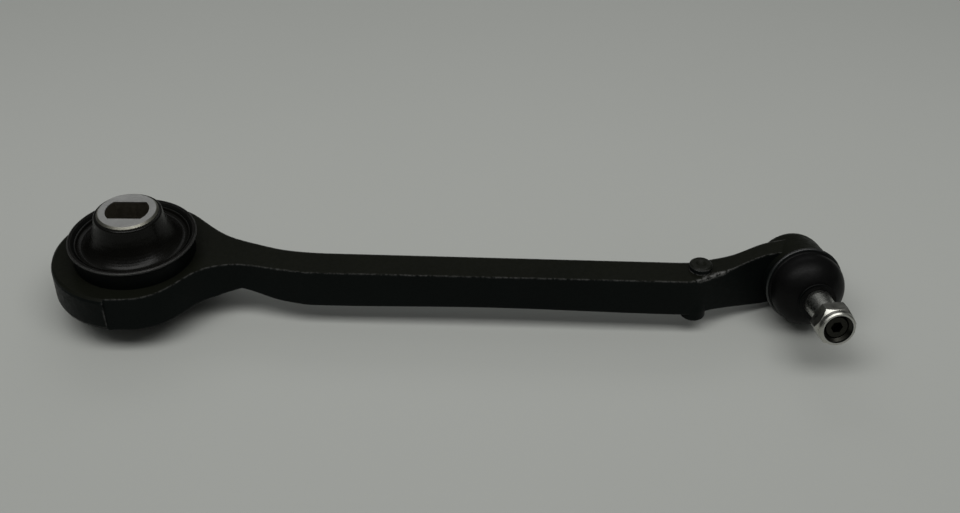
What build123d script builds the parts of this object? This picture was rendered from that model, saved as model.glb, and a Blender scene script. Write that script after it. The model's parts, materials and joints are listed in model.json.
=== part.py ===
"""Forged control arm with a liquid-filled bushing at one end and a ball joint at the other.

Frame: millimetres. +Z runs along the bushing, +X towards the ball joint. The origin is on the
bushing axis, at the lower end face of the inner sleeve.
"""
from build123d import *
from math import cos, radians, sin
import os

# ---- driving dimensions -------------------------------------------------------------------
SLEEVE_LENGTH = 70.0            # inner sleeve, end face to end face
SLEEVE_RADIUS = 17.6
SLOT_LENGTH = 25.0              # double-D slot through the sleeve, along the arm
SLOT_WIDTH = 16.6
EYE_RADIUS = 46.6
EYE_BOTTOM = 17.7
EYE_TOP = 39.7
CAN_RADIUS = 35.0               # outer can of the bushing, pressed into the eye
CAN_WALL = 2.0
CAN_BOTTOM = 12.2
RIM_RADIUS = 36.9               # rolled rim that stands over the eye
RIM_TOP = 52.6
BAR_BOTTOM = 15.9
BAR_TOP = EYE_TOP
PIN_X, PIN_Y = 328.2, -10.9     # button head on top of the bar
BALL_X, BALL_Y, BALL_Z = 389.0, -1.3, 25.1
JOINT_AZIMUTH = 8.0             # both ball-joint axes lean towards +X by this angle
HOUSING_RISE = 13.5             # the housing axis climbs from -Y by this angle
STUD_RISE = 11.5                # the stud hangs a little below the housing axis
BALL_RADIUS = 12.5
HOUSING_RADIUS = 21.3
STUD_REACH = 62.0               # ball centre to the outer face of the nut
NUT_ACROSS_FLATS = 21.0
NUT_HEIGHT = 12.5
COLLAR_RADIUS = 10.1            # round end of the nut

# ---- shared clearances --------------------------------------------------------------------
SOFT_GAP = 0.3                  # between a soft piece and a piece of another body
RUNNING_GAP = 0.05              # ball in its seat
FAR = 200.0                     # longer than any cut has to reach

MID_Z = (EYE_BOTTOM + EYE_TOP) / 2
CAN_BORE = CAN_RADIUS - CAN_WALL


# ---- helpers ------------------------------------------------------------------------------
def joint_plane(rise_deg):
    """Plane at the ball centre whose normal climbs from -Y by rise_deg."""
    azimuth, rise = radians(JOINT_AZIMUTH), radians(rise_deg)
    normal = (sin(azimuth) * cos(rise), -cos(azimuth) * cos(rise), sin(rise))
    return Plane(origin=(BALL_X, BALL_Y, BALL_Z), x_dir=(cos(azimuth), sin(azimuth), 0), z_dir=normal)


HOUSING_PLANE = joint_plane(HOUSING_RISE)
STUD_PLANE = joint_plane(STUD_RISE)


def turned(profile):
    """Solid of revolution about Z from a closed list of (radius, height) corners."""
    face = make_face(Polyline([(r, 0, z) for r, z in profile], close=True))
    return revolve(face, Axis.Z, 360)


def ring(outer, inner, low, high):
    return turned([(inner, low), (outer, low), (outer, high), (inner, high)])


def bead(radius, thickness, height):
    """Round ring of circular section."""
    return Pos(0, 0, height) * Torus(radius, thickness / 2)


def disc(radius, low, high):
    return Pos(0, 0, low) * Cylinder(radius, high - low, align=(Align.CENTER, Align.CENTER, Align.MIN))


def block(x0, x1, y0, y1, z0, z1):
    return Pos((x0 + x1) / 2, (y0 + y1) / 2, (z0 + z1) / 2) * Box(x1 - x0, y1 - y0, z1 - z0)


def rounded(solid, edges, radius):
    """Fillet as given, or with a smaller radius where the edges don't take the full one."""
    for share in (1.0, 0.6, 0.35):
        try:
            result = fillet(edges, radius * share)
            if result.is_valid:
                return result
        except Exception:
            continue
    return solid


# ---- the forging --------------------------------------------------------------------------
NECK_X = 60.0                   # narrowest place, where eye and bar meet
BAR_START = 112.0
BAR_END = 318.0
TAIL_END = 384.0
HOUSING_BACK = -22.6            # along the housing axis, from the ball centre
HOUSING_MOUTH = 9.0
SEAT_BORE = 16.0
COVER_RADIUS = 17.0
COVER_BACK = HOUSING_BACK + 1.1
COVER_FRONT = HOUSING_BACK + 3.6
SEAT_BACK = COVER_FRONT + 1.6   # leaves room for the take-up ring
PIN_RADIUS, PIN_DEPTH = 4.2, 13.0
HEAD_RADIUS, HEAD_HEIGHT = 6.6, 4.0
LUG_X, LUG_Y = 325.6, -16.0     # forged lug under the bar
LUG_RADIUS, LUG_BOTTOM = 7.3, 9.5
LUG_FADE = 1.8                  # how much slimmer the lug is where it dies into the bar's face
EYE_SHIFT = (-1.8, 0.8)         # the eye's outside is a little eccentric to its bore
FLANK_X = -9.0                  # where the arm's flank starts on the side of the eye


def arm_plan(front, rear):
    """Outline seen from above, from the two edges that run beside the eye to the bar's start."""
    front_edge = Spline(*front, tangents=[(1, 0.1), (1, -0.03)])
    front_bar = Line(front[-1], (BAR_END, -23.6))
    front_tail = Spline((BAR_END, -23.6), (334, -18.4), (346, -12.2), (360, -4.6), (TAIL_END, 3.0),
                        tangents=[(1, 0.0), (1, 0.2)])
    close_tail = Line((TAIL_END, 3.0), (TAIL_END, 15.0))
    rear_tail = Spline((TAIL_END, 15.0), (364, 8.6), (350, 1.9), (334, -2.6), (BAR_END, -5.6),
                       tangents=[(-1, -0.2), (-1, 0.0)])
    rear_bar = Line((BAR_END, -5.6), rear[0])
    rear_edge = Spline(*rear, tangents=[(-1, 0.03), (-1, -0.1)])
    close_eye = Line(rear[-1], front[0])
    return make_face(front_edge + front_bar + front_tail + close_tail + rear_tail + rear_bar + rear_edge
                     + close_eye)


def arm_web():
    """Neck, bar and tail, wider at the bottom beside the eye, where the forging dies draft."""
    low = arm_plan([(FLANK_X, -45.9), (8, -45.3), (21, -40.4), (31, -31), (41.5, -18.4), (52, -12.6),
                    (NECK_X, -11.2), (71, -12.2), (85, -15.2), (98, -17.4), (BAR_START, -18.2)],
                   [(BAR_START, 0.8), (99, 1.9), (84, 4.7), (70, 9.7), (55, 16.4), (43, 25.6), (31, 36.6),
                    (FLANK_X, 46.0)])
    high = arm_plan([(FLANK_X, -43.6), (8, -42.2), (19.2, -37.2), (29.4, -27), (39.8, -16), (51, -11.4),
                     (NECK_X, -10.4), (71, -11.6), (85, -14.8), (98, -17.1), (BAR_START, -18.0)],
                    [(BAR_START, 0.8), (99, 1.8), (84, 4.4), (70, 9.2), (54, 15.8), (41.4, 25.2), (28, 38.2),
                     (FLANK_X, 45.0)])
    web = loft([Pos(0, 0, -2) * low, Pos(0, 0, EYE_TOP + 6) * high], ruled=True)
    return web & extrude(arm_side(), FAR, dir=(0, 1, 0), both=True)


def arm_side():
    """Outline seen from the front: the underside steps at the neck, the tail grows deeper."""
    def at(x, z):
        return (x, 0, z)

    neck, bar = EYE_BOTTOM + 4.0, BAR_BOTTOM
    foot, brow = 5.6, 42.4
    neck_low, bar_low, tail_low = at(NECK_X + 2, neck), at(BAR_START, bar - 0.8), at(BAR_END, bar - 1.0)
    tail_dip = [at(334, bar - 2.0), at(350, bar - 5.9), at(364, bar - 9.8)]
    level, rising, falling, back = at(1, 0), at(1, 0.4), at(1, -0.2), at(-1, 0)
    under = [
        Line(at(-60, EYE_BOTTOM), at(44, EYE_BOTTOM)),
        Spline(at(44, EYE_BOTTOM), at(53, EYE_BOTTOM + 1.4), neck_low, tangents=[level, rising]),
        Spline(neck_low, at(82, bar + 0.9), at(96, bar - 0.5), bar_low, tangents=[falling, level]),
        Spline(bar_low, at(200, bar + 0.6), tail_low, tangents=[level, level]),
        Spline(tail_low, *tail_dip, at(TAIL_END, foot), tangents=[level, level]),
    ]
    over = [
        Line(at(TAIL_END, foot), at(TAIL_END, brow)),
        Spline(at(TAIL_END, brow), at(366, brow - 0.1), at(352, 40.9), at(336, BAR_TOP),
               tangents=[back, back]),
        Line(at(336, BAR_TOP), at(-60, BAR_TOP)),
        Line(at(-60, BAR_TOP), at(-60, EYE_BOTTOM)),
    ]
    return make_face(under + over)


def housing_shell():
    """Turned outside of the ball-joint housing, in its own frame."""
    r = HOUSING_RADIUS
    back = HOUSING_BACK
    return turned([(0, back), (r - 3.4, back), (r - 1.6, back + 0.8), (r - 0.4, back + 2.6), (r, back + 5.0),
                   (r, HOUSING_MOUTH - 4.6), (r - 1.8, HOUSING_MOUTH - 3.8), (r - 1.8, HOUSING_MOUTH - 0.6),
                   (r - 2.4, HOUSING_MOUTH), (0, HOUSING_MOUTH)])


def housing_bore():
    """Stepped bore: cover seat at the back, seat bore, flared mouth for the swing of the stud."""
    lip = COVER_RADIUS - 1.6
    return turned([(0, HOUSING_BACK - 1), (lip, HOUSING_BACK - 1), (lip, COVER_BACK),
                   (COVER_RADIUS, COVER_BACK), (COVER_RADIUS, COVER_FRONT), (SEAT_BORE, COVER_FRONT),
                   (SEAT_BORE, 5.6), (13.2, 6.6), (15.4, HOUSING_MOUTH + 1), (0, HOUSING_MOUTH + 1)])


def runs_along(edge):
    """True for the edges between the flanks and the top or bottom faces."""
    direction = edge.tangent_at(0.5)
    lengthwise = abs(direction.Z) < 0.6 and abs(direction.X) > 0.2
    return edge.length > 6 and lengthwise and abs(edge.center().Z - MID_Z) > 5


def arm_forging():
    web = arm_web()
    web = rounded(web, [e for e in web.edges() if runs_along(e) and e.center().Z > MID_Z], 0.9)
    web = rounded(web, [e for e in web.edges() if runs_along(e) and e.center().Z < MID_Z], 1.4)
    eye = turned([(0, EYE_BOTTOM), (EYE_RADIUS - 2.6, EYE_BOTTOM), (EYE_RADIUS - 0.9, EYE_BOTTOM + 1),
                  (EYE_RADIUS, EYE_BOTTOM + 3.2), (EYE_RADIUS, EYE_TOP - 2.6),
                  (EYE_RADIUS - 0.6, EYE_TOP - 1), (EYE_RADIUS - 2.0, EYE_TOP), (0, EYE_TOP)])
    eye = Pos(*EYE_SHIFT, 0) * eye
    beyond_flank = block(FLANK_X, FAR, -FAR, 0, 0, FAR) - web
    housing = HOUSING_PLANE.location * housing_shell()
    lug = turned([(0, LUG_BOTTOM), (LUG_RADIUS - 1.6, LUG_BOTTOM), (LUG_RADIUS, LUG_BOTTOM + 1.6),
                  (LUG_RADIUS, BAR_BOTTOM + 1), (LUG_RADIUS - LUG_FADE, BAR_BOTTOM + 12),
                  (0, BAR_BOTTOM + 12)])
    body = (eye - beyond_flank) + web + housing + Pos(LUG_X, LUG_Y, 0) * lug
    body -= disc(CAN_RADIUS, -FAR / 4, FAR)
    body -= HOUSING_PLANE.location * housing_bore()
    body -= Pos(PIN_X, PIN_Y, 0) * disc(PIN_RADIUS, BAR_TOP - PIN_DEPTH, FAR)
    return body


def locating_pin():
    """Pin driven into the top of the bar, with a dimpled button head."""
    head_top = BAR_TOP + HEAD_HEIGHT
    pin = turned([(0, BAR_TOP - PIN_DEPTH), (PIN_RADIUS - 0.8, BAR_TOP - PIN_DEPTH),
                  (PIN_RADIUS, BAR_TOP - PIN_DEPTH + 0.8), (PIN_RADIUS, BAR_TOP), (HEAD_RADIUS, BAR_TOP),
                  (HEAD_RADIUS, head_top - 1.0), (HEAD_RADIUS - 1.1, head_top), (3.2, head_top),
                  (1.6, head_top - 0.9), (0, head_top - 1.1)])
    return Pos(PIN_X, PIN_Y, 0) * pin


# ---- the bushing --------------------------------------------------------------------------
CAGE_RADIUS = CAN_BORE
CAGE_INNER = 29.6
CAGE_LOW, CAGE_HIGH = CAN_BOTTOM + 2.6, RIM_TOP - 5.4
CAGE_BAND = 4.6
CAGE_WALL = 1.6
PILLAR_HALF_ANGLE = 26.0
STOP_LOW, STOP_HIGH = MID_Z - 5.0, MID_Z + 5.0
STOP_REACH, STOP_HALF_ANGLE = 26.0, 24.0
STOP_CORE = 2.4                 # wall of the travel stop between its two lobes
LEG_HALF_ANGLE = 30.0           # rubber spring legs across the arm
CHANNEL_DEPTH = 1.1
SEAL_BAND = 1.8


def bushing_outer_can():
    """Drawn can with a rolled rim on top and a rolled-in lower edge."""
    wall = ring(CAN_RADIUS, CAN_BORE, CAN_BOTTOM, RIM_TOP - 3.2)
    rim = turned([(CAN_BORE, RIM_TOP - 3.4), (CAN_RADIUS, RIM_TOP - 3.4),
                  (CAN_RADIUS + 0.9, RIM_TOP - 2.2), (RIM_RADIUS, RIM_TOP - 1.4),
                  (RIM_RADIUS, RIM_TOP - 0.5), (RIM_RADIUS - 0.6, RIM_TOP), (CAN_RADIUS - 0.2, RIM_TOP - 0.1),
                  (CAN_BORE + 0.5, RIM_TOP - 1.3), (CAN_BORE, RIM_TOP - 2.2)])
    lip = ring(CAN_BORE, CAGE_INNER + 1.4, CAN_BOTTOM, CAN_BOTTOM + 1.8)
    return wall + rim + lip


def bushing_inner_sleeve():
    """Aluminium core with a double-D slot for the clamping bolt."""
    body = disc(SLEEVE_RADIUS, 0, SLEEVE_LENGTH)
    ends = body.edges().filter_by(GeomType.CIRCLE)
    body = chamfer(ends, 1.1)
    slot = disc(SLOT_LENGTH / 2, -1, SLEEVE_LENGTH + 1)
    half_width = SLOT_WIDTH / 2
    slot &= block(-FAR, FAR, -half_width, half_width, -1, SLEEVE_LENGTH + 1)
    return body - slot


def pillar_sector(outer, inner, low, high, half_angle, centre_deg):
    """Piece of a ring that spans half_angle each side of centre_deg."""
    whole = ring(outer, inner, low, high)
    corners = [(0, 0)]
    for share, reach in ((-1, 2 * outer), (0, 3 * outer), (1, 2 * outer)):
        angle = radians(centre_deg + share * half_angle)
        corners.append((reach * cos(angle), reach * sin(angle)))
    wedge = make_face(Polyline(corners, close=True))
    return whole & (Pos(0, 0, low - 1) * extrude(wedge, high - low + 2, dir=(0, 0, 1)))


def bushing_window_cage():
    """Steel cage: two bands joined by two pillars, with the fluid windows between them."""
    cage = ring(CAGE_RADIUS, CAGE_INNER, CAGE_LOW, CAGE_LOW + CAGE_BAND)
    cage += ring(CAGE_RADIUS, CAGE_INNER, CAGE_HIGH - CAGE_BAND, CAGE_HIGH)
    for centre in (90, 270):
        cage += pillar_sector(CAGE_INNER + CAGE_WALL, CAGE_INNER, CAGE_LOW, CAGE_HIGH, PILLAR_HALF_ANGLE,
                              centre)
    return cage


def channel_ring_half(centre_deg):
    """Half of the ring that carries the throttle channel round the can."""
    low = CAGE_LOW + CAGE_BAND + SEAL_BAND
    high = CAGE_HIGH - CAGE_BAND - SEAL_BAND
    half = pillar_sector(CAN_BORE - 0.1, CAGE_INNER + 1.8, low, high, 88.5, 0)
    channel = ring(CAN_BORE + 1, CAN_BORE - CHANNEL_DEPTH, MID_Z + 1.5, MID_Z + 6.5)
    channel += ring(CAN_BORE + 1, CAN_BORE - CHANNEL_DEPTH, MID_Z - 6.5, MID_Z - 1.5)
    return Rot(0, 0, centre_deg) * (half - channel)


def seal_ring(low):
    """Rubber ring that shuts the fluid space against the can."""
    return ring(CAN_BORE, CAGE_INNER + 1.8, low, low + SEAL_BAND)


def travel_stop():
    """Plastic ring on the sleeve with two lobes that limit radial travel along the arm."""
    core = ring(SLEEVE_RADIUS + STOP_CORE, SLEEVE_RADIUS, STOP_LOW, STOP_HIGH)
    for centre in (0, 180):
        core += pillar_sector(STOP_REACH, SLEEVE_RADIUS, STOP_LOW, STOP_HIGH, STOP_HALF_ANGLE, centre)
    return core


def bushing_rubber_body():
    """Upper and lower rubber bells joined by two spring legs beside the travel stop."""
    bore = SLEEVE_RADIUS + SOFT_GAP
    edge = CAGE_INNER - SOFT_GAP
    mouth = CAN_BORE - SOFT_GAP
    over = CAGE_HIGH + SOFT_GAP
    under = CAGE_LOW - SOFT_GAP
    upper_root, lower_root = CAGE_HIGH - CAGE_BAND, CAGE_LOW + CAGE_BAND
    top, foot = SLEEVE_LENGTH - 1.6, 2.8
    upper = turned([(bore, upper_root), (edge, upper_root), (edge, over), (mouth, over),
                    (mouth, over + 1.6), (29.0, over + 1.0), (26.0, over + 2.6), (22.6, top - 10.6),
                    (20.6, top - 5.6), (19.4, top - 0.6), (bore, top)])
    lip = CAGE_INNER + 1.4 - SOFT_GAP
    lower = turned([(bore, lower_root), (edge, lower_root), (edge, under), (lip, under),
                    (lip, CAN_BOTTOM + 0.4), (lip - 3.4, CAN_BOTTOM - 0.6), (22.6, foot + 3.4),
                    (19.6, foot + 0.4), (bore, foot)])
    legs = [pillar_sector(edge, bore, lower_root - 1, upper_root + 1, LEG_HALF_ANGLE, centre)
            for centre in (90, 270)]
    stop_room = ring(SLEEVE_RADIUS + STOP_CORE + SOFT_GAP, bore - 1, STOP_LOW - SOFT_GAP,
                     STOP_HIGH + SOFT_GAP)
    return upper + lower + (legs[0] - stop_room) + (legs[1] - stop_room)


# ---- the ball joint -----------------------------------------------------------------------
TAPER_START, TAPER_END = 29.0, 46.5
SHOULDER_RADIUS, TAPER_TIP_RADIUS = 8.1, 7.1
NECK_RADIUS = 6.2               # slim shank behind the ball, and the thread's undercut
THREAD_RADIUS = 6.85
SOCKET_FLATS, SOCKET_DEPTH = 6.0, 5.0
STUD_END = STUD_REACH - 2.6
BOOT_RING_PLANE = 7.5
BOOT_RING_RADIUS = 21.9
BOOT_NECK = 8.6                 # boot's inner radius where it grips the stud
COLLAR_LOW, COLLAR_HIGH = 26.6, 30.4


def ball_stud():
    """Ball, slim neck, shoulder, machined taper and threaded end with a hex socket."""
    ball = Sphere(BALL_RADIUS)
    shank = turned([(0, 0), (NECK_RADIUS, 0), (NECK_RADIUS, 15.0), (SHOULDER_RADIUS - 0.2, 22.0),
                    (SHOULDER_RADIUS, TAPER_START), (TAPER_TIP_RADIUS, TAPER_END),
                    (NECK_RADIUS, TAPER_END + 0.4), (NECK_RADIUS, TAPER_END + 1.4),
                    (THREAD_RADIUS, TAPER_END + 1.9), (THREAD_RADIUS, STUD_END - 0.8),
                    (THREAD_RADIUS - 0.8, STUD_END), (0, STUD_END)])
    flat = disc(BALL_RADIUS, -BALL_RADIUS - 1, -BALL_RADIUS + 0.5)
    hexagon = extrude(RegularPolygon(SOCKET_FLATS / 2, 6, major_radius=False), SOCKET_DEPTH + 1)
    socket = Pos(0, 0, STUD_END - SOCKET_DEPTH) * hexagon
    return STUD_PLANE.location * (ball + shank - flat - socket)


def lock_nut():
    """Hexagon lock nut with a round locking collar, on the stud's thread."""
    low = STUD_REACH - NUT_HEIGHT
    half, top = NUT_ACROSS_FLATS / 2, STUD_REACH
    hexagon = Pos(0, 0, low) * extrude(RegularPolygon(half, 6, major_radius=False), NUT_HEIGHT)
    envelope = turned([(0, low), (half - 0.4, low), (half + 1.9, low + 1.3), (half + 1.9, top - 5.4),
                       (COLLAR_RADIUS + 0.2, top - 3.2), (COLLAR_RADIUS, top - 0.7),
                       (COLLAR_RADIUS - 0.7, top), (0, top)])
    bore = disc(THREAD_RADIUS, low - 1, top + 1)
    mouth = COLLAR_RADIUS - 1.7
    relief = turned([(0, top - 2.8), (THREAD_RADIUS, top - 2.8), (mouth, top - 1.6), (mouth, top + 1),
                     (0, top + 1)])
    return STUD_PLANE.location * ((hexagon & envelope) - bore - relief)


def ball_seat():
    """Plastic cup that snaps round the ball, closed at the back."""
    cup = turned([(0, SEAT_BACK), (SEAT_BORE - 2.0, SEAT_BACK), (SEAT_BORE, SEAT_BACK + 2.0),
                  (SEAT_BORE, 5.4), (13.0, 6.4), (0, 6.4)])
    cup -= Sphere(BALL_RADIUS + RUNNING_GAP)
    mouth = turned([(0, 0), (9.6, 0), (12.4, 7.0), (0, 7.0)])
    return HOUSING_PLANE.location * (cup - mouth)


def seat_ring():
    """Elastic ring behind the seat that takes up wear."""
    return HOUSING_PLANE.location * ring(13.6, 8.0, COVER_FRONT, SEAT_BACK)


def closure_cover():
    """Dished steel cover held in the back of the housing by the rolled edge."""
    cover = turned([(0, COVER_BACK - 0.6), (9.0, COVER_BACK - 0.6), (12.0, COVER_BACK),
                    (COVER_RADIUS, COVER_BACK), (COVER_RADIUS, COVER_FRONT), (0, COVER_FRONT)])
    return HOUSING_PLANE.location * cover


def boot_sections():
    """(share of the way from the ring plane to the collar, outer radius) of the boot's bellows."""
    return [(0.0, 20.0), (0.14, 21.0), (0.34, 21.4), (0.55, 19.6), (0.75, 15.8), (0.9, 11.8), (1.0, 10.4)]


def boot_plane(share):
    """Section plane that leans from the housing's axis to the stud's along the boot."""
    start = BOOT_RING_PLANE + 2.2
    rise = HOUSING_RISE + share * (STUD_RISE - HOUSING_RISE)
    plane = joint_plane(rise)
    return plane.offset(start + share * (COLLAR_LOW - 0.3 - start))


def dust_boot():
    """Closed outer form of the rubber boot, hollow round the stud."""
    outer = Solid.make_loft([boot_plane(s).location * Wire.make_circle(r) for s, r in boot_sections()])
    inner = Solid.make_loft([boot_plane(s).location * Wire.make_circle(max(r - 2.0, BOOT_NECK + SOFT_GAP))
                             for s, r in [(-0.02, 18.4)] + boot_sections()[1:-1] + [(1.02, 10.4)]])
    return outer - inner


def boot_large_ring():
    """Spring ring that holds the boot's bead on the housing."""
    return HOUSING_PLANE.location * bead(BOOT_RING_RADIUS, 2.0, BOOT_RING_PLANE)


def boot_small_ring():
    """Garter spring round the boot's collar."""
    return STUD_PLANE.location * bead(10.1, 1.2, COLLAR_LOW + 1.4)


def boot_collar():
    """Lip insert that turns on the stud under the boot's end."""
    bore = SHOULDER_RADIUS + RUNNING_GAP
    collar = turned([(bore, COLLAR_LOW), (9.6, COLLAR_LOW), (9.3, COLLAR_LOW + 1.4),
                     (9.6, COLLAR_HIGH - 0.6), (10.8, COLLAR_HIGH), (bore, COLLAR_HIGH)])
    return STUD_PLANE.location * collar


# ---- write one file per piece -------------------------------------------------------------
PIECES = {
    "arm_forging": arm_forging(),
    "locating_pin": locating_pin(),
    "bushing_outer_can": bushing_outer_can(),
    "bushing_inner_sleeve": bushing_inner_sleeve(),
    "bushing_rubber_body": bushing_rubber_body(),
    "bushing_window_cage": bushing_window_cage(),
    "channel_ring_near": channel_ring_half(0),
    "channel_ring_far": channel_ring_half(180),
    "upper_seal_ring": seal_ring(CAGE_HIGH - CAGE_BAND - SEAL_BAND),
    "lower_seal_ring": seal_ring(CAGE_LOW + CAGE_BAND),
    "travel_stop": travel_stop(),
    "ball_stud": ball_stud(),
    "lock_nut": lock_nut(),
    "ball_seat": ball_seat(),
    "seat_ring": seat_ring(),
    "closure_cover": closure_cover(),
    "dust_boot": dust_boot(),
    "boot_large_ring": boot_large_ring(),
    "boot_small_ring": boot_small_ring(),
    "boot_collar": boot_collar(),
}

os.makedirs("parts", exist_ok=True)
for node, piece in PIECES.items():
    export_step(piece, f"parts/{node}.step")
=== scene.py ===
"""Looks for the forged control arm: soft rubber pieces, finishes, floor, light and camera."""
import json
from math import cos, pi, radians, sin

import bmesh
import bpy
from mathutils import Matrix, Vector


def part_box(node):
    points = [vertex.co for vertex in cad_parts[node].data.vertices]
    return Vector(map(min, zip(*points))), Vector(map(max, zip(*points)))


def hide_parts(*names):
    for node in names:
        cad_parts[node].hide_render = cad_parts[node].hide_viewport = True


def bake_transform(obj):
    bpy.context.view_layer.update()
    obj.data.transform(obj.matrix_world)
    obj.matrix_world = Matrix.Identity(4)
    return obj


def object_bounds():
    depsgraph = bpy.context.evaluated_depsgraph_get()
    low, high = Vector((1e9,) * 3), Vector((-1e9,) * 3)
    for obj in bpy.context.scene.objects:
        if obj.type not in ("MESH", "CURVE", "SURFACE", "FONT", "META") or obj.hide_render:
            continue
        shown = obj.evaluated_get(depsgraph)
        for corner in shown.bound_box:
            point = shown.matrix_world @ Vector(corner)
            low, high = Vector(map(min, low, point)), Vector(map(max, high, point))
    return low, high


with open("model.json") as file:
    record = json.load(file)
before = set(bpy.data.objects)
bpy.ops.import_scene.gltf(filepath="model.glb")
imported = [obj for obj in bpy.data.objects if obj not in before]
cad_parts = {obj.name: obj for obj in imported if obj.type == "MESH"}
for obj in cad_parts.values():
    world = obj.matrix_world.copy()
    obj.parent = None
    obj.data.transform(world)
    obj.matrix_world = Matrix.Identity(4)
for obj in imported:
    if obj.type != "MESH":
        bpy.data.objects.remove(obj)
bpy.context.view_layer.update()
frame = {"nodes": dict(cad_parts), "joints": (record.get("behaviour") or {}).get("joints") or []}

MM = 0.001
ORIGIN = (0, 0, 0)                      # on the bushing's axis, which stands upright
UP = (0, 0, 1)
NUT_HALF = 6.2 * MM                     # middle of the lock nut to its outer face

# ---- places, read from the frame ------------------------------------------------------------
joints = {j["name"]: j for j in frame["joints"]}
ball = Vector(joints["stud_spin"]["pos_m"])
stud_axis = Vector(joints["stud_spin"]["axis"]).normalized()
level_axis = Vector(joints["stud_swing_lift"]["axis"]).normalized()


def centre(node):
    """Middle of a node's box at rest."""
    low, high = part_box(node)
    return (low + high) / 2


def radius(node):
    """Outer radius of a node that is round about the bushing's axis."""
    low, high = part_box(node)
    return (high.x - low.x) / 2


boot_ring_offset = (centre("boot_large_ring") - ball).length
housing_axis = (centre("boot_large_ring") - ball).normalized()
collar_offset = (centre("boot_collar") - ball).dot(stud_axis)
nut_end = (centre("lock_nut") - ball).dot(stud_axis) + NUT_HALF
sleeve_low, sleeve_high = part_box("bushing_inner_sleeve")
can_low, can_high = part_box("bushing_outer_can")
sleeve_radius = radius("bushing_inner_sleeve")
can_radius = radius("bushing_outer_can")


# ---- node helpers ---------------------------------------------------------------------------
AO_SAMPLES = 8
LOOKS_UP = (0.35, 0.9)                  # height of the normal, from an upright face to a level one, over which painted shade turns to painted top light


class Finish:
    """A material and short calls for the nodes that the finishes here share."""

    def __init__(self, name, **shader):
        self.material = bpy.data.materials.new(name)
        self.material.use_nodes = True
        self.tree = self.material.node_tree
        self.shader = self.tree.nodes["Principled BSDF"]
        self.coords = self.add("TexCoord").outputs["Object"]
        for socket, value in shader.items():
            self.put(self.shader.inputs[socket.replace("_", " ")], value)

    def put(self, socket, value):
        """Links an output to the socket, or sets the socket to a plain value."""
        if isinstance(value, bpy.types.NodeSocket):
            self.tree.links.new(value, socket)
        else:
            socket.default_value = value

    def add(self, kind, inputs=(), **settings):
        """New shader node of that kind, with its inputs and settings filled in."""
        node = self.tree.nodes.new("ShaderNode" + kind)
        for key, value in settings.items():
            setattr(node, key, value)
        for key, value in dict(inputs).items():
            self.put(node.inputs[key], value)
        return node

    def noise(self, scale, detail=3.0, roughness=0.55, stretch=None):
        """Grey noise with that many features in a metre, times stretch along each axis if given."""
        vector = self.coords
        if stretch:
            vector = self.add("Mapping", {"Vector": vector, "Scale": stretch}).outputs["Vector"]
        inputs = {"Vector": vector, "Scale": scale, "Detail": detail, "Roughness": roughness}
        return self.add("TexNoise", inputs).outputs["Fac"]

    def ramp(self, value, low, high, start=0.0, end=1.0):
        """Smooth step from start to end as value goes from low to high."""
        inputs = {"Value": value, "From Min": low, "From Max": high, "To Min": start, "To Max": end}
        return self.add("MapRange", inputs, interpolation_type="SMOOTHSTEP").outputs["Result"]

    def math(self, operation, a, b=0.0, c=0.0):
        """Result of one operation on up to three numbers."""
        return self.add("Math", {0: a, 1: b, 2: c}, operation=operation).outputs["Value"]

    def mix(self, share, a, b):
        """Colour between a and b."""
        inputs = {"Factor": share, "A": a, "B": b}
        node = self.tree.nodes.new("ShaderNodeMix")
        node.data_type = "RGBA"
        for key, value in inputs.items():
            socket = next(s for s in node.inputs if s.name == key and s.enabled)
            self.put(socket, value)
        return next(s for s in node.outputs if s.enabled)

    def edges(self, distance):
        """1 along outward edges, 0 elsewhere: how near the far side of the metal is."""
        inputs = {"Distance": distance}
        inside = self.add("AmbientOcclusion", inputs, inside=True, only_local=True,
                          samples=AO_SAMPLES)
        return self.math("SUBTRACT", 1.0, inside.outputs["AO"])

    def along(self, origin, axis):
        """Distance from origin along axis, in metres."""
        moved = self.add("VectorMath", {0: self.coords, 1: origin}, operation="SUBTRACT")
        dot = self.add("VectorMath", {0: moved.outputs[0], 1: axis}, operation="DOT_PRODUCT")
        return dot.outputs["Value"]

    def away(self, origin, axis):
        """Distance from the line through origin along axis, in metres."""
        moved = self.add("VectorMath", {0: self.coords, 1: origin}, operation="SUBTRACT")
        cross = self.add("VectorMath", {0: moved.outputs[0], 1: axis}, operation="CROSS_PRODUCT")
        return self.add("VectorMath", {0: cross.outputs[0]}, operation="LENGTH").outputs["Value"]

    def distance(self, point):
        """Distance from a point, in metres."""
        apart = self.add("VectorMath", {0: self.coords, 1: point}, operation="DISTANCE")
        return apart.outputs["Value"]

    def upward(self):
        """1 on faces that look up, 0 on upright ones, by the piece's own normal: where painted top light
        replaces painted side shade.
        """
        normal = self.add("TexCoord").outputs["Normal"]
        height = self.add("SeparateXYZ", {"Vector": normal}).outputs["Z"]
        return self.ramp(height, *LOOKS_UP)

    def grooves(self, distance, pitch):
        """Fine turned rings, one every pitch metres."""
        return self.math("SINE", self.math("MULTIPLY", distance, 2 * pi / pitch))

    def bump(self, height, depth, normal=None):
        """Bump of that depth in metres, on top of an earlier bump."""
        inputs = {"Height": height, "Distance": depth, "Strength": 1.0}
        if normal:
            inputs["Normal"] = normal
        return self.add("Bump", inputs).outputs["Normal"]


def grey(value, tint=(1.0, 1.0, 1.0)):
    """Opaque colour of that grey, tinted."""
    return (value * tint[0], value * tint[1], value * tint[2], 1.0)


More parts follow.
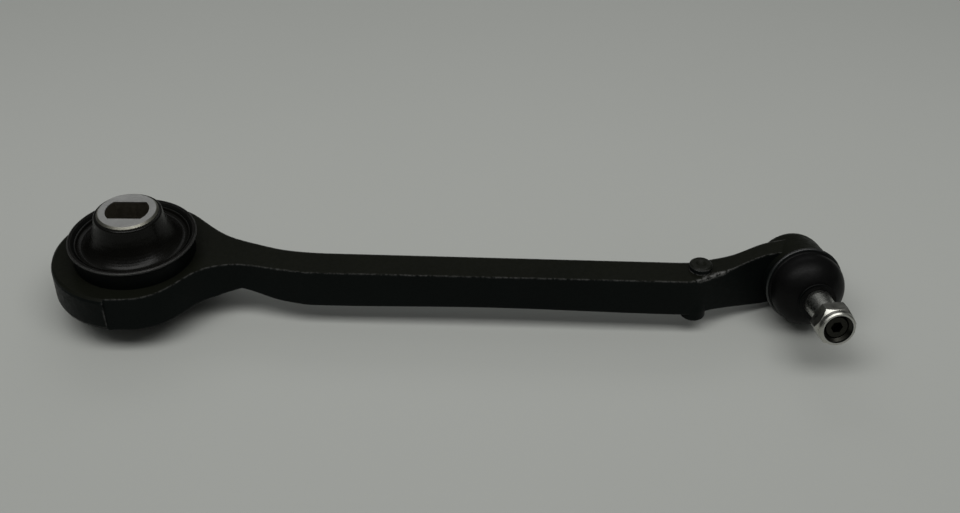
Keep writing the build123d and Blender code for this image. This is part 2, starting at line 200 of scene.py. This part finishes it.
# ---- finishes -------------------------------------------------------------------------------
WHITE = (1, 1, 1)
OLIVE = (1.0, 0.98, 0.84)
# olive tint of the coat, used for its painted lit tops and for its pits
OLIVE_COAT_TINT = (0.99, 1.07, 0.74)
# cool tint of the painted shade on upright faces
COOL_SHADE = (0.82, 1.10, 1.02)
BROWN_RUBBER = (1.05, 1.0, 0.76)
BROWN_GREASE = (1.0, 0.92, 0.76)
FAINT_MAUVE = (1, 0.98, 1.04)
MID_NOISE = (0.3, 0.7)                  # range that most of the grey noise lies in
SMOOTHER, ROUGHER = 0.06, 0.08          # spread of a finish's roughness

# Noise scales are in features to the metre. TIMES multiplies a finish's base grey, GREY is a grey of its
# own, and SHARE is how much of a colour is mixed in.
STEEL_PATCHES, STEEL_SKIN, STEEL_PITS, STEEL_CHIPS, STEEL_WAVES = 22, 420, 1500, 380, 90
PIT_RANGE, PIT_TIMES, PIT_SHARE = (0.62, 0.75), 2.6, 0.35
WORN_EDGE = (0.10, 0.42)
BARE_STEEL = (1, 0.99, 0.97)
BARE_GREY, BARE_METALLIC, BARE_POLISH = 0.34, 0.7, 0.1
RUBBED_REACH = (6 * MM, 16 * MM)
RUBBED_WIDER, RUBBED_STRONGER = 1.6, 0.5
UNWORN_FADE = 3 * MM
# painted light: tops lighter and upright sides darker than the base grey
LIT_TOP_TIMES, SHADED_SIDE_TIMES = (0.95, 1.65), (0.66, 1.12)
ROUGHNESS_SPREAD = 0.16
WAVES_TO_SKIN = 3                       # depth of the slow waves over the skin's


def coated_steel(name, base, wear_width, wear_amount, skin=0.12 * MM, tint=OLIVE_COAT_TINT, unworn=0.0,
                 gaps=(0.40, 0.62), gloss=0.12, roughness=0.36, rubbed=None):
    """Black coating over a forged or drawn skin, rubbed through in places along its edges.

    Faces that look up are painted lighter in that tint and upright ones darker and cooler, as painted
    top light and side shade. Nothing is rubbed within unworn metres of the bushing's axis. gaps is the
    range of noise over which the rubbing breaks up. Round the point rubbed the wear is wider and stronger.
    """
    f = Finish(name, Specular_IOR_Level=gloss)
    if rubbed:
        near = f.ramp(f.distance(rubbed), *RUBBED_REACH, 1.0, 0.0)
        wear_width = f.math("MULTIPLY_ADD", near, RUBBED_WIDER * wear_width, wear_width)
        wear_amount = f.math("MULTIPLY_ADD", near, RUBBED_STRONGER, wear_amount)
    patches = f.noise(STEEL_PATCHES, detail=4)
    skin_noise = f.noise(STEEL_SKIN, detail=5, roughness=0.6)
    pits = f.ramp(f.noise(STEEL_PITS, detail=2), *PIT_RANGE)
    broken = f.ramp(f.noise(STEEL_CHIPS, detail=5, roughness=0.75), *gaps)
    worn = f.math("MULTIPLY", f.ramp(f.edges(wear_width), *WORN_EDGE), broken)
    worn = f.math("MULTIPLY", worn, wear_amount)
    if unworn:
        reach = f.away(ORIGIN, UP)
        worn = f.math("MULTIPLY", worn, f.ramp(reach, unworn, unworn + UNWORN_FADE))
    # painted light and shade: lighter olive tops, darker and cooler upright sides
    top = f.mix(patches, *(grey(base * times, tint) for times in LIT_TOP_TIMES))
    side = f.mix(patches, *(grey(base * times, COOL_SHADE) for times in SHADED_SIDE_TIMES))
    lit_and_shaded_coat = f.mix(f.upward(), side, top)
    lit_and_shaded_coat = f.mix(f.math("MULTIPLY", pits, PIT_SHARE), lit_and_shaded_coat, grey(base * PIT_TIMES, tint))
    f.put(f.shader.inputs["Base Color"], f.mix(worn, lit_and_shaded_coat, grey(BARE_GREY, BARE_STEEL)))
    f.put(f.shader.inputs["Metallic"], f.math("MULTIPLY", worn, BARE_METALLIC))
    rough = f.ramp(skin_noise, *MID_NOISE, roughness, roughness + ROUGHNESS_SPREAD)
    polish = f.math("MULTIPLY", worn, BARE_POLISH)
    f.put(f.shader.inputs["Roughness"], f.math("SUBTRACT", rough, polish))
    first = f.bump(skin_noise, skin)
    waves = f.noise(STEEL_WAVES)
    f.put(f.shader.inputs["Normal"], f.bump(waves, WAVES_TO_SKIN * skin, first))
    return f.material


TURNED_STAINS, TURNED_FINE, TURNED_SCRATCHES = 60, 900, 700
STAIN_RANGE, STAIN_TIMES = (0.38, 0.68), (0.86, 1.04)
SCRATCH_STRETCH = (1.0, 0.12, 1.0)
SCRATCH_RANGE, SCRATCH_TIMES, SCRATCH_SHARE = (0.66, 0.72), 0.6, 0.2
GLINT_WIDTH, GLINT_GREY = 0.6 * MM, 0.92
SHARP_EDGE = (0.1, 0.5)
# the rim grey is painted shade that dims the highlight on the sleeve's rim chamfer
SLOT_GREY, RIM_SHADE_GREY, DARK_END_GREY = 0.34, 0.24, 0.028
SLOT_SIDE, SLOT_DEPTH = 0.4 * MM, 1.2 * MM
RIM_START, RIM_END = 1.6 * MM, 0.8 * MM
DARK_END_FADE = 1 * MM
RING_DEPTH, FINE_DEPTH = 0.0015 * MM, 0.005 * MM


def turned_metal(name, base, tint, origin, axis, pitch=0.35 * MM, roughness=0.3, face_rings=False,
                 dark_within=0.0, dark_beyond=None, glint=0.35, rim_radius=0.0):
    """Machined metal with fine turned rings, faint stains and a few scratches.

    Given dark_beyond alone, it is near-black further along the axis than that. With dark_within too, it
    is dark nearer the axis than dark_within as far as dark_beyond, and painted darker from just inside
    rim_radius outwards, as painted shade that dims the highlight on the rim's chamfer.
    """
    f = Finish(name, Metallic=1.0)
    distance = f.away(origin, axis) if face_rings else f.along(origin, axis)
    rings = f.grooves(distance, pitch)
    band = f.noise(TURNED_STAINS, detail=4)
    fine = f.noise(TURNED_FINE)
    scratches = f.noise(TURNED_SCRATCHES, detail=2, roughness=0.5, stretch=SCRATCH_STRETCH)
    scratch = f.ramp(scratches, *SCRATCH_RANGE)
    stained = f.mix(f.ramp(band, *STAIN_RANGE), *(grey(base * times, tint) for times in STAIN_TIMES))
    scratched = grey(base * SCRATCH_TIMES, tint)
    stained = f.mix(f.math("MULTIPLY", scratch, SCRATCH_SHARE), stained, scratched)
    edge = f.ramp(f.edges(GLINT_WIDTH), *SHARP_EDGE)
    bright = f.mix(f.math("MULTIPLY", edge, glint), stained, grey(GLINT_GREY))
    if dark_within:
        inside = f.ramp(f.away(origin, axis), dark_within, dark_within + SLOT_SIDE, 1.0, 0.0)
        below = f.ramp(f.along(origin, axis), dark_beyond - SLOT_DEPTH, dark_beyond, 1.0, 0.0)
        bright = f.mix(f.math("MULTIPLY", inside, below), bright, grey(SLOT_GREY, BROWN_GREASE))
        # painted shade over the rim's chamfer, dimming its highlight
        outside = f.ramp(f.away(origin, axis), rim_radius - RIM_START, rim_radius - RIM_END)
        bright = f.mix(outside, bright, grey(RIM_SHADE_GREY, OLIVE))
    elif dark_beyond:
        # near-black along the axis beyond dark_beyond, as far as the end
        beyond = f.ramp(f.along(origin, axis), dark_beyond, dark_beyond + DARK_END_FADE)
        bright = f.mix(beyond, bright, grey(DARK_END_GREY, OLIVE))
    f.put(f.shader.inputs["Base Color"], bright)
    rough = f.ramp(fine, *MID_NOISE, roughness - SMOOTHER, roughness + ROUGHER)
    f.put(f.shader.inputs["Roughness"], rough)
    ringed = f.bump(rings, RING_DEPTH)
    f.put(f.shader.inputs["Normal"], f.bump(fine, FINE_DEPTH, ringed))
    return f.material


RUBBER_DUST, RUBBER_MOTTLE, RUBBER_WAVES = 45, 150, 140
DUST_RANGE, DUST_TIMES, DUST_SHARE, DUST_MATTE = (0.45, 0.75), 3, 0.3, 0.12
RUBBER_TIMES = (0.8, 1.25)
RUBBER_SMOOTHER, RUBBER_ROUGHER = 0.05, 0.06
MOULD_PITCH, MOULD_DEPTH = 1.1 * MM, 0.008 * MM
GRAIN_DEPTH, WAVE_DEPTH = 0.03 * MM, 0.18 * MM


def rubber(name, base, tint, roughness=0.42, grain=1300, origin=None, axis=None, gloss=0.3):
    """Moulded rubber: dusty in patches and finely grained, with faint mould rings if it has an axis."""
    f = Finish(name, Specular_IOR_Level=gloss)
    dust = f.ramp(f.noise(RUBBER_DUST, detail=5, roughness=0.6), *DUST_RANGE)
    fine = f.noise(grain)
    body = f.mix(f.noise(RUBBER_MOTTLE), *(grey(base * times, tint) for times in RUBBER_TIMES))
    dusty = f.mix(f.math("MULTIPLY", dust, DUST_SHARE), body, grey(base * DUST_TIMES, tint))
    f.put(f.shader.inputs["Base Color"], dusty)
    rough = f.ramp(fine, *MID_NOISE, roughness - RUBBER_SMOOTHER, roughness + RUBBER_ROUGHER)
    rough = f.math("ADD", rough, f.math("MULTIPLY", dust, DUST_MATTE))
    f.put(f.shader.inputs["Roughness"], rough)
    normal = f.bump(fine, GRAIN_DEPTH)
    if origin is not None:
        normal = f.bump(f.grooves(f.away(origin, axis), MOULD_PITCH), MOULD_DEPTH, normal)
    f.put(f.shader.inputs["Normal"], f.bump(f.noise(RUBBER_WAVES), WAVE_DEPTH, normal))
    return f.material


PLASTIC_GRAIN, PLASTIC_MOTTLE = 1100, 60
PLASTIC_TIMES = (0.88, 1.1)


def moulded_plastic(name, base, tint=WHITE, roughness=0.45):
    """Matte moulded plastic with an eroded-tool grain."""
    f = Finish(name)
    grain = f.noise(PLASTIC_GRAIN)
    body = f.mix(f.noise(PLASTIC_MOTTLE), *(grey(base * times, tint) for times in PLASTIC_TIMES))
    f.put(f.shader.inputs["Base Color"], body)
    rough = f.ramp(grain, *MID_NOISE, roughness - SMOOTHER, roughness + ROUGHER)
    f.put(f.shader.inputs["Roughness"], rough)
    f.put(f.shader.inputs["Normal"], f.bump(grain, GRAIN_DEPTH))
    return f.material


ZINC_CLOUDS, ZINC_GRAIN = 130, 1400
ZINC_DARK, ZINC_LIGHT = (0.38, (1, 0.99, 0.90)), (0.54, (1, 0.99, 0.92))
ZINC_EDGE, ZINC_EDGE_GREY, ZINC_EDGE_SHARE, ZINC_EDGE_POLISH = 0.9 * MM, 0.88, 0.6, 0.08
ZINC_MILKY, ZINC_DULL, ZINC_ROUGHNESS = (0.35, 0.7), (0.3, 0.75), (0.26, 0.42)
ZINC_GRAIN_DEPTH = 0.018 * MM
RECESS_GREY, RECESS_SIDE = 0.03, 0.4 * MM


def zinc_nut(name, recess):
    """Zinc plating with an olive cast, milky patches and bright rubbed edges, dark in the recess."""
    f = Finish(name, Metallic=1.0)
    cloud = f.noise(ZINC_CLOUDS, detail=5, roughness=0.6)
    fine = f.noise(ZINC_GRAIN)
    plate = f.mix(f.ramp(cloud, *ZINC_MILKY), grey(*ZINC_DARK), grey(*ZINC_LIGHT))
    edge = f.ramp(f.edges(ZINC_EDGE), *SHARP_EDGE)
    plate = f.mix(f.math("MULTIPLY", edge, ZINC_EDGE_SHARE), plate, grey(ZINC_EDGE_GREY))
    inside = f.ramp(f.away(ball, stud_axis), recess, recess + RECESS_SIDE, 1.0, 0.0)
    f.put(f.shader.inputs["Base Color"], f.mix(inside, plate, grey(RECESS_GREY, OLIVE)))
    rough = f.ramp(cloud, *ZINC_DULL, *ZINC_ROUGHNESS)
    polish = f.math("MULTIPLY", edge, ZINC_EDGE_POLISH)
    f.put(f.shader.inputs["Roughness"], f.math("SUBTRACT", rough, polish))
    f.put(f.shader.inputs["Normal"], f.bump(fine, ZINC_GRAIN_DEPTH))
    return f.material


RUBBED_OFFSET = Vector((7 * MM, -9 * MM, 0))    # from the pin to the most rubbed place
SLOT_WALL = 4.2 * MM                            # outside of the sleeve to just past its slot's ends
RECESS_RADIUS = 8.3 * MM                        # dark inside of the nut's collar
DARK_END_LENGTH = 13 * MM                        # of the stud, back from the nut's outer face, that is drawn near-black
rubbed_place = (centre("locating_pin") + RUBBED_OFFSET).to_tuple()

bell_rubber = rubber("bushing_black_rubber", 0.0026, BROWN_RUBBER, roughness=0.25, origin=ORIGIN, axis=UP,
                     gloss=0.18)
boot_rubber = rubber("boot_black_rubber", 0.0028, WHITE, roughness=0.40, gloss=0.11)

FINISHES = {
    "arm_forging": coated_steel("forged_black", 0.0062, wear_width=1.5 * MM, wear_amount=0.22,
                                unworn=can_radius + 1 * MM, gloss=0.05, rubbed=rubbed_place),
    "locating_pin": coated_steel("pin_black", 0.007, wear_width=1.2 * MM, wear_amount=0.8,
                                 skin=0.04 * MM),
    "bushing_outer_can": coated_steel("can_black", 0.0035, wear_width=1.1 * MM, wear_amount=0.60,
                                      skin=0.04 * MM, tint=OLIVE, gaps=(0.1, 0.45), gloss=0.06),
    "bushing_inner_sleeve": turned_metal("satin_aluminium", 0.60, (1, 1, 0.98), ORIGIN, UP,
                                         pitch=0.4 * MM, roughness=0.42, face_rings=True,
                                         dark_within=sleeve_radius - SLOT_WALL,
                                         dark_beyond=sleeve_high.z, glint=0.0,
                                         rim_radius=sleeve_radius),
    "bushing_window_cage": turned_metal("cage_steel", 0.45, WHITE, ORIGIN, UP),
    "channel_ring_near": moulded_plastic("channel_plastic", 0.10),
    "channel_ring_far": moulded_plastic("channel_plastic_far", 0.10),
    "upper_seal_ring": rubber("upper_seal", 0.02, WHITE),
    "lower_seal_ring": rubber("lower_seal", 0.02, WHITE),
    "travel_stop": moulded_plastic("stop_nylon", 0.55, (1, 0.96, 0.85)),
    "ball_stud": turned_metal("stud_steel", 0.54, (1, 1, 0.94), ball, stud_axis, pitch=0.4 * MM,
                              dark_beyond=nut_end - DARK_END_LENGTH),
    "lock_nut": zinc_nut("zinc_plate", RECESS_RADIUS),
    "ball_seat": moulded_plastic("seat_acetal", 0.78, (1, 1, 0.96), roughness=0.38),
    "seat_ring": rubber("take_up_rubber", 0.03, WHITE),
    "closure_cover": coated_steel("cover_black", 0.007, wear_width=0.9 * MM, wear_amount=0.6,
                                  skin=0.05 * MM),
    "boot_large_ring": coated_steel("blackened_wire", 0.008, wear_width=0.6 * MM, wear_amount=0.12,
                                    skin=0.01 * MM, tint=FAINT_MAUVE, gloss=0.6, roughness=0.30),
    "boot_small_ring": coated_steel("garter_wire", 0.004, wear_width=0.4 * MM, wear_amount=0.1,
                                    skin=0.02 * MM, tint=WHITE, gloss=0.08),
    "boot_collar": rubber("collar_black", 0.003, WHITE, gloss=0.12),
}
for node, material in FINISHES.items():
    mesh = frame["nodes"][node].data
    mesh.materials.clear()
    mesh.materials.append(material)


# ---- turned soft pieces ---------------------------------------------------------------------
SEGMENTS = 128
CREASE = radians(38)
SAME_POINT = 1e-7
UPPER_STEPS, LOWER_STEPS, INNER_STEPS, BOOT_STEPS = 6, 5, 3, 8    # curve steps between profile points


def smooth_run(points, steps):
    """Catmull-Rom curve through (radius, height) points."""
    ends = [points[0]] + list(points) + [points[-1]]
    run = []
    for p0, p1, p2, p3 in zip(ends, ends[1:], ends[2:], ends[3:]):
        for step in range(steps):
            t = step / steps
            run.append(tuple(
                0.5 * (2 * b + (c - a) * t + (2 * a - 5 * b + 4 * c - d) * t * t
                       + (3 * b - a - 3 * c + d) * t ** 3)
                for a, b, c, d in zip(p0, p1, p2, p3)))
    run.append(tuple(points[-1]))
    return run


def lathe(name, profile, place, material):
    """Closed ring-shaped mesh: each (radius, height) of the profile becomes one ring put by place."""
    following = profile[1:] + profile[:1]
    loop = [p for p, q in zip(profile, following) if (Vector(p) - Vector(q)).length > SAME_POINT]
    vertices, faces = [], []
    for r, h in loop:
        for i in range(SEGMENTS):
            vertices.append(place(r, h, 2 * pi * i / SEGMENTS))
    rings = len(loop)
    for k in range(rings):
        for i in range(SEGMENTS):
            j, m = (i + 1) % SEGMENTS, (k + 1) % rings
            faces.append((k * SEGMENTS + i, k * SEGMENTS + j, m * SEGMENTS + j, m * SEGMENTS + i))
    mesh = bpy.data.meshes.new(name)
    mesh.from_pydata(vertices, [], faces)
    mesh.update()
    bm = bmesh.new()
    bm.from_mesh(mesh)
    bmesh.ops.recalc_face_normals(bm, faces=bm.faces)
    for face in bm.faces:
        face.smooth = True
    for edge in bm.edges:
        edge.smooth = edge.calc_face_angle(0.0) < CREASE
    bm.to_mesh(mesh)
    bm.free()
    piece = bpy.data.objects.new(name, mesh)
    piece.data.materials.append(material)
    bpy.context.scene.collection.objects.link(piece)
    return piece


def upright(r, h, angle):
    """Point at that radius, height and angle about the bushing's axis."""
    return (r * cos(angle), r * sin(angle), h)


# ---- rubber bells of the bushing ------------------------------------------------------------
CAN_WALL = 3.95 * MM                    # outside of the can's rim to the rubber in its bore
BOND_GAP = 0.02 * MM                    # keeps the rubber's surface off the sleeve's
TOP_DROP = 1.5 * MM                     # rubber's top below the sleeve's
FOOT_RISE = 2.8 * MM                    # rubber's foot above the sleeve's
LIP_WIDTH = 2.2 * MM                    # the can's lower lip turns in by this
bore = can_radius - CAN_WALL
bond = sleeve_radius + BOND_GAP         # where the rubber is bonded to the sleeve
rim_top, can_foot = can_high.z, can_low.z
top = sleeve_high.z - TOP_DROP


def from_corner(r, h, offsets):
    """Profile points from their (radius, height) offsets in mm from one corner."""
    return [(r + out * MM, h + rise * MM) for out, rise in offsets]


upper_outside = (from_corner(bond, top, [(0.9, 0), (1.7, -0.7), (2.1, -2.6), (2.9, -6.0), (4.2, -10.0),
                                         (6.2, -14.2), (8.8, -17.6)])
                 + from_corner(bond, rim_top, [(11.4, -3.7), (13.6, -3.2)])
                 + from_corner(bore, rim_top, [(-0.9, -1.9), (-0.05, -1.6)]))
upper_inside = (from_corner(bore, rim_top, [(-0.05, -4.9), (-3.0, -4.9)])
                + from_corner(bond, rim_top, [(10.0, -6.2), (5.4, -4.6), (2.4, 1.0), (0.8, 6.0), (0, 8.0)]))
upper_bell = lathe("bushing_bell_upper",
                   smooth_run(upper_outside, UPPER_STEPS) + smooth_run(upper_inside, INNER_STEPS)
                   + [(bond, top)], upright, bell_rubber)
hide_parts("bushing_rubber_body")
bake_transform(upper_bell)

foot = sleeve_low.z + FOOT_RISE
lip = bore - LIP_WIDTH
lower_outside = (from_corner(bond, foot, [(0.6, 0), (1.7, 0.5), (2.9, 1.8), (5.0, 3.8), (8.0, 6.6)])
                 + from_corner(bond, can_foot, [(10.4, -0.9)])
                 + from_corner(lip, can_foot, [(-0.9, -0.7), (-0.05, 0.1)]))
lower_inside = (from_corner(lip, can_foot, [(-0.05, 2.2)])
                + from_corner(bond, can_foot, [(10.0, 3.4), (6.0, 1.2)])
                + from_corner(bond, foot, [(2.6, 5.8), (0.5, 4.0), (0, 3.2)]))
lower_bell = lathe("bushing_bell_lower",
                   smooth_run(lower_outside, LOWER_STEPS) + smooth_run(lower_inside, INNER_STEPS)
                   + [(bond, foot)], upright, bell_rubber)
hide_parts("bushing_rubber_body")
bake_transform(lower_bell)


# ---- dust boot ------------------------------------------------------------------------------
END_GAP = 2.2 * MM                      # from the large ring, and from the collar, to the dome's ends
BOOT_START = boot_ring_offset + END_GAP
BOOT_END = collar_offset - END_GAP
SEAM_SHARE = 0.46                       # where the dome's piece meets the cuff's
WALL = 1.6 * MM                         # thickness of the boot's rubber


def lean(h):
    """Axis of the boot at height h: it turns from the housing's to the stud's."""
    share = min(1.0, max(0.0, (h - BOOT_START) / (BOOT_END - BOOT_START)))
    return housing_axis.lerp(stud_axis, share).normalized()


def on_boot(r, h, angle):
    """Point at that radius and angle about the boot's bent axis, h from the ball."""
    axis = lean(h)
    across = axis.cross(level_axis)
    return ball + axis * h + (level_axis * cos(angle) + across * sin(angle)) * r


def boot_at(share):
    """Height on the boot's axis at that share of the way from the housing to the stud."""
    return BOOT_START + share * (BOOT_END - BOOT_START)


WIRE = 1.0 * MM                         # radius of the ring's wire
NOSE_DEPTH = 1.3 * MM                   # of rubber between the ring and the housing's nose
ring_low, ring_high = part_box("boot_large_ring")
ring_radius = (ring_high - ring_low).dot(level_axis) / 2 - WIRE
# outside of the boot: radius in mm, share of the way from the housing to the stud
DOME = [(20.7, 0.0), (21.25, 0.10), (21.5, 0.22), (21.3, 0.36), (20.5, 0.50), (19.0, 0.64),
        (16.9, 0.77), (14.3, 0.88), (11.9, 0.96), (10.3, 1.0)]
CUFF = [(8.9, 1.02), (8.45, 1.0), (8.45, 0.9)]
dome = smooth_run([(r * MM, boot_at(s)) for r, s in DOME], BOOT_STEPS)
seam_height = boot_at(SEAM_SHARE)
seam_index = min(range(len(dome)), key=lambda k: abs(dome[k][1] - seam_height))


def inward(run, depth):
    """The run moved inwards by the wall's thickness."""
    moved = []
    for k, (r, h) in enumerate(run):
        before, after = run[max(k - 1, 0)], run[min(k + 1, len(run) - 1)]
        along = Vector((after[0] - before[0], after[1] - before[1])).normalized()
        moved.append((r - along.y * depth, h + along.x * depth))
    return moved


inner_dome = inward(dome, WALL)
seat = ring_radius - WIRE
nose = seat - NOSE_DEPTH
bead = (from_corner(nose, BOOT_START, [(0, -4.4)])
        + from_corner(seat, BOOT_START, [(0.7, -4.4), (0.9, -3.6), (0, -3.2), (0, -1.2), (-0.15, -0.6)]))
outer_half = lathe("dust_boot_dome", bead + dome[:seam_index + 1] + inner_dome[seam_index::-1]
                   + [(nose, BOOT_START)], on_boot, boot_rubber)
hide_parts("dust_boot")
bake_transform(outer_half)

cuff = [(r * MM, boot_at(s)) for r, s in CUFF]
inner_half = lathe("dust_boot_cuff", dome[seam_index:] + cuff + inner_dome[-2:seam_index - 1:-1],
                   on_boot, boot_rubber)
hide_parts("dust_boot")
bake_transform(inner_half)


# ---- floor, light and camera ----------------------------------------------------------------
low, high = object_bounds()
middle = (low + high) / 2

FLOOR_SIZE, FLOOR_CELLS = 24, 4
FLOOR_CLOUDS, FLOOR_GRAIN, FLOOR_GRAIN_DEPTH = 3, 700, 0.04 * MM
FLOOR_DARK, FLOOR_LIGHT = (0.59, 0.605, 0.575, 1), (0.62, 0.63, 0.605, 1)
# grey of the painted shade at the floor's front, and how much of it is mixed in
FLOOR_FRONT_SHADE, FLOOR_SHADE_SHARE = (0.42, 0.43, 0.41, 1), 0.55
FRONT_EDGE, BACK_EDGE = -0.32, 0.22     # painted shade on the floor grows from the second to the first


def pale_floor():
    """Faintly clouded pale surface with painted shade that darkens it a little towards the front."""
    f = Finish("pale_floor", Roughness=0.75)
    clouds = f.mix(f.noise(FLOOR_CLOUDS), FLOOR_DARK, FLOOR_LIGHT)
    # painted shade: the floor darkens towards the front
    nearer = f.ramp(f.along(ORIGIN, (0, 1, 0)), FRONT_EDGE, BACK_EDGE, 1.0, 0.0)
    share = f.math("MULTIPLY", nearer, FLOOR_SHADE_SHARE)
    f.put(f.shader.inputs["Base Color"], f.mix(share, clouds, FLOOR_FRONT_SHADE))
    f.put(f.shader.inputs["Normal"], f.bump(f.noise(FLOOR_GRAIN), FLOOR_GRAIN_DEPTH))
    return f.material


bpy.ops.mesh.primitive_grid_add(size=FLOOR_SIZE, x_subdivisions=FLOOR_CELLS, y_subdivisions=FLOOR_CELLS,
                                location=(middle.x, 0, low.z))
floor = bpy.context.object
floor.name = "floor"
floor.data.materials.append(pale_floor())


def softbox(name, location, target, width, height, power, colour=WHITE):
    """Rectangular area light at location that faces target."""
    lamp = bpy.data.lights.new(name, "AREA")
    lamp.shape = "RECTANGLE"
    lamp.size, lamp.size_y = width, height
    lamp.energy = power
    lamp.color = colour
    holder = bpy.data.objects.new(name, lamp)
    holder.location = location
    holder.rotation_euler = (Vector(target) - Vector(location)).to_track_quat("-Z", "Y").to_euler()
    bpy.context.scene.collection.objects.link(holder)


softbox("overhead", (middle.x, -0.50, 1.3), middle, width=1.9, height=0.6, power=11.3,
        colour=(1.0, 1.0, 0.985))
softbox("behind", (middle.x - 0.1, 1.5, 1.5), middle, width=1.8, height=0.7, power=2.2)


STUDIO_FADE_START = 0.1
STUDIO_COLOUR = (0.97, 1.0, 0.98, 1)


def studio_dome(horizon, zenith):
    """Soft light that comes mostly from above and fades towards the horizon."""
    world = bpy.data.worlds.new("studio")
    world.use_nodes = True
    tree = world.node_tree
    coords = tree.nodes.new("ShaderNodeTexCoord").outputs["Generated"]
    split = tree.nodes.new("ShaderNodeSeparateXYZ")
    tree.links.new(coords, split.inputs[0])
    fade = tree.nodes.new("ShaderNodeMapRange")
    fade.interpolation_type = "SMOOTHERSTEP"
    fade.inputs["From Min"].default_value = STUDIO_FADE_START
    fade.inputs["To Min"].default_value = horizon
    fade.inputs["To Max"].default_value = zenith
    tree.links.new(split.outputs["Z"], fade.inputs["Value"])
    background = tree.nodes["Background"]
    background.inputs["Color"].default_value = STUDIO_COLOUR
    tree.links.new(fade.outputs["Result"], background.inputs["Strength"])
    bpy.context.scene.world = world


studio_dome(horizon=0.035, zenith=0.19)
bpy.context.scene.view_settings.view_transform = "Standard"

CAMERA_PLACE = Vector((0.20635, -0.60524, 0.49913))
PITCH, YAW, ROLL = 0.650137, 0.008455, -0.00284
LENS, SENSOR = 48.9, 36
side = Vector((cos(YAW), sin(YAW), 0))
forward = Vector((-sin(YAW) * cos(PITCH), cos(YAW) * cos(PITCH), -sin(PITCH)))
down = forward.cross(side)
right = side * cos(ROLL) + down * sin(ROLL)
down = down * cos(ROLL) - side * sin(ROLL)
camera = bpy.data.objects.new("camera", bpy.data.cameras.new("camera"))
camera.data.lens = LENS
camera.data.sensor_width = SENSOR
turn = Matrix((right, -down, -forward)).transposed()
camera.matrix_world = Matrix.Translation(CAMERA_PLACE) @ turn.to_4x4()
bpy.context.scene.collection.objects.link(camera)
bpy.context.scene.camera = camera
